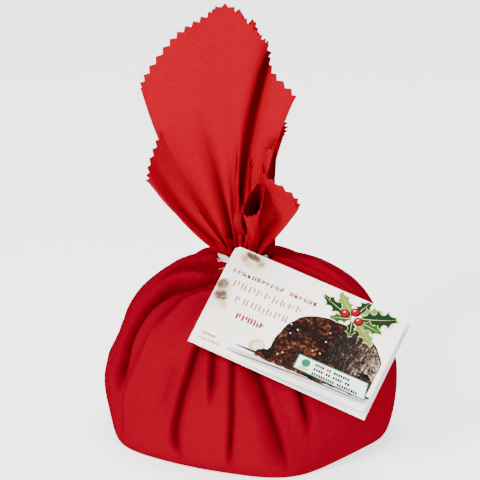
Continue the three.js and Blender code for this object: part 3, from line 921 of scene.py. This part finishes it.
def makeString():
    rng = np.random.default_rng(cord["seed"])
    at, middle = cord["knotAt"], tie["height"]
    radius = cord["thick"] / 2 - 0.02
    wound = []
    total = 360 * cord["turns"] - 20
    for angle in np.linspace(10, total, 40 * cord["turns"]):
        height = middle - cord["rise"] + cord["rise"] * angle / 360 * 0.8
        wound.append(neckPlace(at + angle, ringReach, height))
    knot = [neckPlace(at + on, ringReach + out, middle + up) for on, out, up in cord["knot"]]
    endA = np.array(neckPlace(at - 16, ringReach + 4.4, middle + 1.0))
    endB = np.array(neckPlace(at - 2, ringReach + 7.6, middle - 1.6))
    tree, sockets = ropeNodes(cottonString)
    paths = [
        curveThrough([wound[0], *knot, endA]),
        np.array(wound),
        curveThrough([wound[-1], knot[1], knot[4], neckPlace(at + 2, ringReach + 4.2, middle - 0.9), endB]),
    ]
    meshes = [ropeAlong("cordPart", path, radius, tree, sockets) for path in paths]
    for end, before in ((endA, np.array(knot[-1])), (endB, np.array(knot[4]))):
        away = unit((end - before)[None])[0]
        for _ in range(cord["strayFibres"] // 2):
            spread = rng.normal(0, 0.55, 3)
            tip = end + (away + spread) * rng.uniform(1.2, 2.8)
            bend = (end + tip) / 2 + rng.normal(0, 0.25, 3)
            start = end + rng.normal(0, 0.22, 3) - 0.3 * away
            fibre = curveThrough([start, bend, tip], 5)
            meshes.append(ropeAlong("fibre", fibre, cord["strayRadius"], tree, sockets))
    joined = bpy.data.meshes.new("neck_cord")
    places, faces, count = [], [], 0
    for mesh in meshes:
        places += [tuple(v.co) for v in mesh.vertices]
        faces += [tuple(i + count for i in face.vertices) for face in mesh.polygons]
        count += len(mesh.vertices)
        bpy.data.meshes.remove(mesh)
    joined.from_pydata(places, [], faces)
    joined.polygons.foreach_set("use_smooth", [True] * len(joined.polygons))
    joined.materials.append(cottonString)
    joined.update()
    return toScene(bpy.data.objects.new("neck_cord", joined))


print("string")
cottonString = cordMaterial()
neckCord = makeString()
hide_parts("neck_string")
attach(neckCord, "root")


tag = {
    "length": 105.5,
    "height": 64.6,
    "thick": 0.35,
    "gape": (0.083, 0.038),  # the slope between the two leaves, at the foot and at the head
    "frontLength": 103.8,
    "pullStart": 0.3,
    "pullDepth": 11,
    "middle": (26.2, -62.3, 81.6),
    "front": (0.098, -0.6865, 0.7205),
    "right": (0.9074, -0.2357, -0.348),
    "pullWay": (0, 0.94, -0.342),
    "cornerRound": 3.5,  # of the tied corner
    "grid": (52, 34),
    "seed": 7,
    "rearFace": 0.6,  # how far out the front of the rear leaf is
    "frontStart": 0.25,  # from the fold to the front leaf
    "frontFace": 1.22,  # how far out the front of the front leaf is, at the fold
}
tagRight = unit(np.array(tag["right"]))
tagFront = np.array(tag["front"])
tagFront = unit(tagFront - tagRight * (tagFront @ tagRight))
tagUp = np.cross(tagFront, tagRight)


def onTag(flatPlaces, out):
    # places on the rear leaf's plane: along from the fold, up from the lower edge
    flatPlaces = np.asarray(flatPlaces, float)
    along, up = flatPlaces[:, 0], flatPlaces[:, 1]
    toward = 0.55 - along / tag["length"] + 0.9 * (up / tag["height"] - 0.5)
    pulled = np.maximum(0, toward - tag["pullStart"]) / (1 - tag["pullStart"])
    away = np.asarray(out, float)
    return (
        np.array(tag["middle"])
        + np.outer(along - tag["length"] / 2, tagRight)
        + np.outer(up - tag["height"] / 2, tagUp)
        + np.outer(away * np.ones(len(along)), tagFront)
        + np.outer(tag["pullDepth"] * pulled**2, tag["pullWay"])
    )


def frontFace(along, up):
    foot, head = tag["gape"]
    return tag["frontFace"] + along * (foot + (head - foot) * up / tag["height"])


# soft fields of colour on the card: middle, half width, half height, turn, colour, strength
tagClouds = [
    (14.0, 14.0, 34, 26, 0.0, (0.93, 0.86, 0.76), 0.8),
    (12.5, 59.5, 10.5, 7.0, 0.1, (0.66, 0.55, 0.42), 0.9),
    (11.8, 61.8, 6.8, 2.8, 0.15, (0.10, 0.06, 0.035), 1.0),
    (7.6, 59.0, 2.6, 2.6, 0.5, (0.34, 0.25, 0.17), 0.8),
    (17.4, 59.6, 3.0, 2.2, -0.6, (0.30, 0.21, 0.14), 0.8),
    (12.4, 58.8, 3.6, 1.4, 0.1, (0.93, 0.89, 0.84), 0.6),
    (4.4, 34.6, 7.6, 12.5, 0.0, (0.64, 0.53, 0.40), 0.95),
    (3.0, 39.6, 4.0, 5.0, 0.3, (0.12, 0.07, 0.04), 1.0),
    (4.8, 32.6, 5.0, 5.2, 0.0, (0.08, 0.045, 0.025), 1.0),
    (7.6, 28.4, 5.0, 2.8, 0.3, (0.48, 0.38, 0.27), 0.85),
    (2.4, 26.0, 7, 5, 0.0, (0.70, 0.62, 0.50), 0.8),
    (24.0, 11.8, 9, 7, 0.0, (0.80, 0.76, 0.68), 0.8),
    (24.4, 12.6, 6.6, 4.8, 0.0, (0.95, 0.93, 0.90), 0.9),
    (44.0, 9.0, 12, 5.5, 0.1, (0.52, 0.49, 0.44), 0.6),
    (60.0, 2.0, 46, 2.6, 0.03, (0.62, 0.61, 0.59), 0.7),
]


def cardMaterial():
    made = Shader("tagCard", 0.6, 0.12)
    place = made.uv((1000, 1000, 1))
    mottle = made.noise(place, 0.22, 3, 0.6)
    base = made.ramp(mottle, [(0.3, (0.95, 0.905, 0.86)), (0.7, (0.98, 0.95, 0.92))])
    patchy = made.math("MULTIPLY_ADD", made.noise(place, 0.4, 3, 0.6), 1.8, 0.15)
    for x, y, wide, high, turn, colour, share in tagClouds:
        turned = made.mapped(made.mapped(place, Location=(-x, -y, 0)), Rotation=(0, 0, turn))
        far = made.length(made.mapped(turned, Scale=(1 / wide, 1 / high, 1)))
        soft = made.math("MULTIPLY", made.ranged(far, 1.0, 0.4, 0, 1, interpolation_type="SMOOTHSTEP"), share)
        if min(colour) < 0.5:
            soft = made.math("MULTIPLY", soft, patchy)
        base = made.mix(soft, base, colour)
    made.bump(made.noise(place, 2.2, 3, 0.6), 0.00003, 0.5)
    return made.painted(base)


def leafMesh(out, length, start):
    # one leaf as a closed thin plate with a fine grid
    wide, high = tag["grid"]
    along = np.linspace(start, length, wide + 1)
    up = np.linspace(0, tag["height"], high + 1)
    grid = np.array([(x, y) for y in up for x in along])
    corner = tag["cornerRound"]
    inCorner = np.clip(corner - grid[:, 0], 0, corner)
    topThere = np.sqrt(corner**2 - inCorner**2)
    overFoot = np.clip(grid[:, 1] - tag["height"] + corner, 0, corner)
    grid[:, 1] -= overFoot * (1 - topThere / corner)
    lift = out(grid[:, 0], grid[:, 1])
    points = np.concatenate([onTag(grid, lift), onTag(grid, lift - tag["thick"])])
    count = len(grid)
    faces = []
    row = wide + 1
    for j in range(high):
        for i in range(wide):
            a = j * row + i
            faces.append((a, a + 1, a + row + 1, a + row))
            faces.append((count + a, count + a + row, count + a + row + 1, count + a + 1))
    rim = [*range(wide)] + [j * row + wide for j in range(high)]
    rim += [high * row + i for i in range(wide, 0, -1)] + [j * row for j in range(high, 0, -1)]
    for k, a in enumerate(rim):
        b = rim[(k + 1) % len(rim)]
        faces.append((a, count + a, count + b, b))
    return points, faces, np.concatenate([grid, grid])


def plate(outline, lift, material, rise=0.02):
    # a thin printed shape on the front leaf, in small triangles so that it follows the card
    outline = np.clip(np.asarray(outline, float), 0.3, [tag["frontLength"] - 0.3, tag["height"] - 0.3])
    low, high = outline.min(0), outline.max(0)
    acrossX, acrossY = (np.arange(low[i] + 1.7, high[i], 3.5) for i in (0, 1))
    inside = [(x, y) for x in acrossX for y in acrossY]
    places = [Vector(place) for place in (*outline, *inside)]
    rim = [(i, (i + 1) % len(outline)) for i in range(len(outline))]
    flat, _, cells = delaunay_2d_cdt(places, rim, [], 1, 1e-4)[:3]
    flat = np.array(flat)
    cells = [tuple(cell) for cell in cells]
    first, second, third = flat[list(cells[0])]
    if np.linalg.det([second - first, third - first]) < 0:
        cells = [cell[::-1] for cell in cells]
    sides = {(cell[k], cell[(k + 1) % 3]) for cell in cells for k in range(3)}
    n = len(flat)
    face = frontFace(flat[:, 0], flat[:, 1])
    top = onTag(flat, face + lift + rise)
    low = onTag(flat, face + lift - 0.01)
    faces = cells + [tuple(n + i for i in cell[::-1]) for cell in cells]
    faces += [(a, n + a, n + b, b) for a, b in sides if (b, a) not in sides]
    return np.concatenate([top, low]), faces, np.concatenate([flat, flat]), material


def turnedAt(x, y, turn, px, py):
    c, s = math.cos(turn), math.sin(turn)
    return np.stack([x + px * c - py * s, y + px * s + py * c], 1)


def oval(x, y, wide, high=None, turn=0.0, steps=20, reach=1.0):
    angle = np.linspace(0, 2 * math.pi, steps, endpoint=False)
    return turnedAt(x, y, turn, wide * np.cos(angle) * reach, (high or wide) * np.sin(angle) * reach)


def block(x0, y0, x1, y1, slope=0.0):
    return np.array([(x0, y0), (x1, y0 + slope * (x1 - x0)), (x1, y1 + slope * (x1 - x0)), (x0, y1)])


def hollyLeaf(x, y, turn, length, wide, spines, bend):
    # an outline with spines, scalloped between them
    side = []
    steps = spines * 5
    for i in range(steps + 1):
        t = i / steps
        scallop = abs(math.sin(math.pi * t * spines)) ** 0.7
        reach = wide * math.sin(math.pi * min(1, t * 0.94 + 0.03)) ** 0.6
        side.append((t * length, reach * (1.0 - 0.5 * scallop)))
    along, out = np.array([(px, -py) for px, py in side] + side[::-1][1:-1]).T
    return turnedAt(x, y, turn, along, out + bend * (along / length) * (1 - along / length) * length)


def midrib(x, y, turn, length, bend, half=0.22):
    t = np.linspace(0.02, 0.96, 9)
    curve = bend * t * (1 - t) * length
    taper = half * (1.05 - t)
    along = np.concatenate([t * length, (t * length)[::-1]])
    return turnedAt(x, y, turn, along, np.concatenate([curve - taper, (curve + taper)[::-1]]))


def inkMaterial(name, colour):
    made = Shader("ink_" + name, 0.45, 0.04)
    tone = made.noise(made.uv((1000, 1000, 1)), 0.9, 3, 0.6)
    return made.painted(made.ramp(tone, [(0.35, tuple(0.8 * c for c in colour)), (0.62, colour)]))


def crumbMaterial():
    # dark, moist crumb with fruit in it
    made = Shader("printedPudding", 0.55, 0.04)
    place = made.uv((1000, 1000, 1))
    crumb = made.noise(place, 0.5, 5, 0.72)
    patches = made.noise(place, 0.11, 2, 0.5)
    both = made.math("MULTIPLY_ADD", patches, 0.35, made.math("MULTIPLY", crumb, 0.72))
    return made.painted(made.ramp(both, [
        (0.44, (0.002, 0.0012, 0.001)), (0.54, (0.010, 0.003, 0.002)), (0.60, (0.055, 0.014, 0.006)),
        (0.66, (0.15, 0.042, 0.016)), (0.74, (0.34, 0.20, 0.12)),
    ]))


def glazeMaterial():
    # the glossy side of the printed pudding: dark, with pale streaks, and paler to the right
    made = Shader("printedGlaze", 0.5, 0.06)
    place = made.uv((1000, 1000, 1))
    streak = made.noise(made.uv((750, 160, 1), 0.12), 1.0, 4, 0.65)
    fine = made.noise(place, 0.7, 4, 0.7)
    along = made.node("ShaderNodeSeparateXYZ", {0: place}).outputs[0]
    paler = made.ranged(along, 76, 101, -0.06, 0.10)
    both = made.math("MULTIPLY_ADD", fine, 0.45, made.math("MULTIPLY_ADD", streak, 0.6, paler))
    return made.painted(made.ramp(both, [
        (0.46, (0.004, 0.002, 0.0015)), (0.56, (0.025, 0.013, 0.008)), (0.63, (0.13, 0.095, 0.07)),
        (0.72, (0.55, 0.50, 0.42)),
    ]))


def dashes(x0, x1, middle, slope, count, gaps, rng):
    # a line of small writing as a row of plain dashes
    pitch = (x1 - x0) / count
    shapes = []
    for i in range(count):
        if i not in gaps:
            left = x0 + pitch * i
            foot = middle - 0.85 + slope * (left - x0)
            shapes.append(block(left, foot, left + pitch * rng.uniform(0.7, 0.85), foot + 1.7, slope))
    return shapes


def strokes(x0, x1, middle, tall, count, wide, gaps, rng):
    # a line of writing as a row of plain upright bars
    pitch = (x1 - x0) / count
    shapes = []
    for i in range(count):
        if i in gaps:
            continue
        left, apart = x0 + pitch * (i + 0.14), pitch * rng.uniform(0.3, 0.55)
        for k in range(2):
            foot = middle - tall / 2 + (k and tall * rng.choice([0, 0.4]))
            head = middle + tall / 2 - (k and tall * rng.choice([0, 0.3]))
            shapes.append(block(left + k * apart, foot, left + k * apart + wide, head))
    return shapes


def printShapes():
    rng = np.random.default_rng(tag["seed"])
    shapes = []  # (outline, lift, ink)

    def add(outline, lift, ink):
        shapes.append((outline, lift, ink))

    def addOvals(*rows):
        for x, y, wide, high, turn, steps, lift, ink in rows:
            add(oval(x, y, wide, high, turn, steps), lift, ink)

    writing = (
        # from, to, middle, height, marks, stroke, ink, gaps
        (4.6, 55.2, 49.9, 2.5, 18, 0.85, "rose", (11,)),
        (7.6, 49.8, 42.7, 4.2, 9, 0.85, "gold", ()),
        (12.4, 45.0, 34.3, 4.2, 7, 0.85, "gold", ()),
        (17.0, 34.6, 24.9, 3.7, 5, 1.1, "red", ()),
        (4.6, 12.8, 7.9, 1.3, 7, 0.5, "gold", ()),
        (4.2, 16.6, 4.5, 1.3, 9, 0.5, "gold", ()),
    )
    for x0, x1, middle, tall, count, stroke, ink, gaps in writing:
        for outline in strokes(x0, x1, middle, tall, count, stroke, gaps, rng):
            add(outline, 0.03, ink)
    addOvals(
        # the plate that the printed pudding stands on
        (70, 5.4, 50, 2.9, 0.02, 40, 0.02, "silver"), (50, 4.9, 28, 0.4, 0.05, 40, 0.03, "steel"),
        (84, 5.6, 18, 0.35, -0.02, 40, 0.03, "steel"), (70, 8.6, 46, 1.1, 0.0, 40, 0.032, "steel"),
        (74, 2.4, 40, 0.6, 0.02, 40, 0.035, "label"),
        # cream beside it
        (35.2, 12.6, 4.6, 4.0, 0.4, 24, 0.03, "cream"), (35.8, 12.9, 3.0, 2.5, 0.4, 24, 0.04, "creamShade"),
    )
    # the pudding itself, cut off on its right by the picture's edge
    turns = np.linspace(math.pi, 0, 34)
    domeSide = np.sign(np.cos(turns)) * np.abs(np.cos(turns)) ** 0.68
    domeWide = np.where(turns > math.pi / 2, 29.5, 33.0)
    dome = np.stack([71.5 + domeWide * domeSide, 8.0 + 37.2 * np.sin(turns) ** 0.72], 1)
    dome[:, 0] = np.minimum(dome[:, 0], 101.2)
    dome += rng.uniform(-0.3, 0.3, dome.shape)
    dome = dome[(dome[:, 1] > 13.4) | (dome[:, 0] > 70)]
    underside = np.stack([np.linspace(101.2, 36.4, 24), 6.6 + rng.uniform(-0.5, 0.5, 24)], 1)
    toe = np.array([(35.8, 8.2), (36.4, 10.8), (38.2, 11.8), (39.6, 12.8), (41.2, 13.0)])
    add(np.concatenate([dome, underside, toe])[::-1], 0.05, "crumb")
    edge = np.linspace(math.pi / 2 - 0.12, 0.02, 22)
    side = np.stack([71.0 + 32.8 * np.cos(edge) ** 0.68, 8.0 + 36.4 * np.sin(edge) ** 0.72], 1)
    side[:, 0] = np.minimum(side[:, 0], 101.0)
    drips = np.array([(72 + 29 * t, 14 + 5 * math.sin(9.5 * t) + 4 * t) for t in np.linspace(1, 0.06, 16)])
    flank = np.array([(72.5 + 1.4 * math.sin(8 * t), 14 + 28 * t) for t in np.linspace(0.1, 0.95, 8)])
    add(np.concatenate([side, drips, flank])[::-1], 0.075, "glaze")
    for x, y, wide in zip(rng.uniform(46, 74, 26), rng.uniform(12, 41, 26), rng.uniform(0.2, 0.55, 26)):
        turn, reach = rng.uniform(0, 3), 1 + rng.uniform(-0.2, 0.2, 7)
        add(oval(x, y, wide, wide * 0.6, turn, 7, reach), 0.08, "glint" if wide > 0.4 else "rust")
    # the holly on top of it
    leaves = (
        (75, 51.5, 2.84, 20.5, 4.4, 4, 0.12, "leafDark"), (74, 53.5, 2.4, 14.5, 4.0, 3, 0.1, "leafPale"),
        (77, 54, 1.2, 11.0, 4.6, 3, 0.1, "leafDark"), (79, 54.5, 0.62, 12.5, 4.2, 3, 0.0, "leafPale"),
        (79.5, 52.5, 0.42, 21.0, 6.6, 4, -0.1, "leafDark"), (78, 50, -0.66, 17.5, 4.2, 4, 0.1, "leafPale"),
        (76, 49.5, -1.3, 10.5, 3.2, 3, 0.0, "leafDark"), (75.5, 50.5, 3.5, 12.5, 3.4, 3, 0.0, "leafGreen"),
        (80, 50.5, -0.1, 14.0, 3.8, 3, 0.0, "leafGreen"),
    )
    for i, (x, y, turn, length, wide, spines, bend, ink) in enumerate(leaves):
        lift = 0.10 + 0.02 * i
        tipX, tipY = 0.25 * math.cos(turn), 0.25 * math.sin(turn)
        add(hollyLeaf(x, y, turn, length * 1.02, wide * 1.05, spines, bend), lift, "leafEdge")
        add(hollyLeaf(x + tipX, y + tipY, turn, length * 0.96, wide * 0.93, spines, bend), lift + 0.008, ink)
        add(midrib(x, y, turn, length, bend), lift + 0.014, "leafEdge")
    for x, y in ((70.9, 51.9), (75.7, 55.0), (79.4, 50.3)):
        addOvals(
            (x, y, 2.7, 2.7, 0, 28, 0.30, "berryDark"),
            (x - 0.25, y + 0.25, 2.15, 2.15, 0, 28, 0.31, "berry"),
            (x - 0.8, y + 0.8, 0.55, 0.4, 0.6, 20, 0.32, "glint"),
            (x + 1.1, y - 1.2, 0.25, 0.25, 0, 20, 0.32, "berryDark"),
        )
    # a plain label stuck on the lower right
    add([(58.2, 8.8), (101.8, 6.2), (99.6, 17.4), (58.2, 18.2)], 0.34, "teal")
    add([(58.9, 9.4), (101.0, 7.0), (99.0, 16.8), (58.9, 17.5)], 0.36, "label")
    add(oval(63.8, 14.2, 2.5, steps=28), 0.38, "green")
    add(block(61.0, 9.9, 66.8, 11.2), 0.38, "yellow")
    for x0, x1, y, count, gaps in (
        (69.0, 89.6, 15.4, 15, (4, 7)), (69.0, 90.8, 12.6, 15, (4, 7, 12)), (69.0, 96.6, 9.8, 20, (10,)),
    ):
        for outline in dashes(x0, x1, y, -0.045, count, gaps, rng):
            add(outline, 0.38, "ink")
    return shapes


inks = {
    "rose": (0.24, 0.004, 0.014), "gold": (0.36, 0.15, 0.015), "red": (0.24, 0.001, 0.008),
    "rust": (0.16, 0.035, 0.012), "silver": (0.55, 0.54, 0.51), "steel": (0.03, 0.022, 0.018),
    "cream": (0.52, 0.48, 0.26), "creamShade": (0.80, 0.76, 0.60), "glint": (0.85, 0.78, 0.66),
    "leafEdge": (0.50, 0.55, 0.22), "leafDark": (0.004, 0.022, 0.004), "leafGreen": (0.02, 0.075, 0.010),
    "leafPale": (0.14, 0.21, 0.03),
    "berryDark": (0.05, 0.0004, 0.0015), "berry": (0.22, 0.001, 0.004), "teal": (0.0, 0.13, 0.10),
    "label": (0.94, 0.93, 0.92), "green": (0.0, 0.16, 0.06), "yellow": (0.75, 0.36, 0.01),
    "ink": (0.008, 0.007, 0.006),
}


def gather(parts):
    # joins (points, faces, flat, material index) parts into one list of each
    points, faces, flat, slots, count = [], [], [], [], 0
    for some, own, cut, slot in parts:
        points.append(some)
        flat.append(cut)
        faces += [tuple(i + count for i in face) for face in own]
        slots += [slot] * len(own)
        count += len(some)
    return np.concatenate(points), faces, np.concatenate(flat), slots


print("tag")
rear = leafMesh(lambda along, up: np.full(len(along), tag["rearFace"]), tag["length"], 0)
frontLeaf = leafMesh(frontFace, tag["frontLength"], tag["frontStart"])
points, faces, flat, slots = gather([(*rear, 0), (*frontLeaf, 0)])
giftTag = makeMesh("gift_tag", points, faces, [cardMaterial()], flat, 40, slots)
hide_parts("tag_card")
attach(giftTag, "root")

print("print on the tag")
inkNames = list(inks) + ["crumb", "glaze"]
inkMaterials = [inkMaterial(*ink) for ink in inks.items()] + [crumbMaterial(), glazeMaterial()]
parts = [plate(outline, lift, inkNames.index(ink)) for outline, lift, ink in printShapes()]
points, faces, flat, slots = gather(parts)
tagPrint = makeMesh("tag_print", points, faces, inkMaterials, flat, 30, slots)
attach(tagPrint, "root")

print("floor")
ground = {"half": 9.0, "below": 0.0002, "roughness": 0.6, "colour": (0.85, 0.85, 0.85, 1), "glow": 1.8}
floorMesh = bpy.data.meshes.new("floor")
corners = [(x * ground["half"], y * ground["half"], 0) for x, y in ((-1, -1), (1, -1), (1, 1), (-1, 1))]
floorMesh.from_pydata(corners, [], [(0, 1, 2, 3)])
floorShader = Shader("paleFloor", ground["roughness"])
floorShader.put(floorShader.inputs["Emission Color"], (1, 1, 1, 1))
floorShader.put(floorShader.inputs["Emission Strength"], ground["glow"])
floorMesh.materials.append(floorShader.painted(ground["colour"]))
floor = toScene(bpy.data.objects.new("floor", floorMesh))
floor.location.z = -ground["below"]
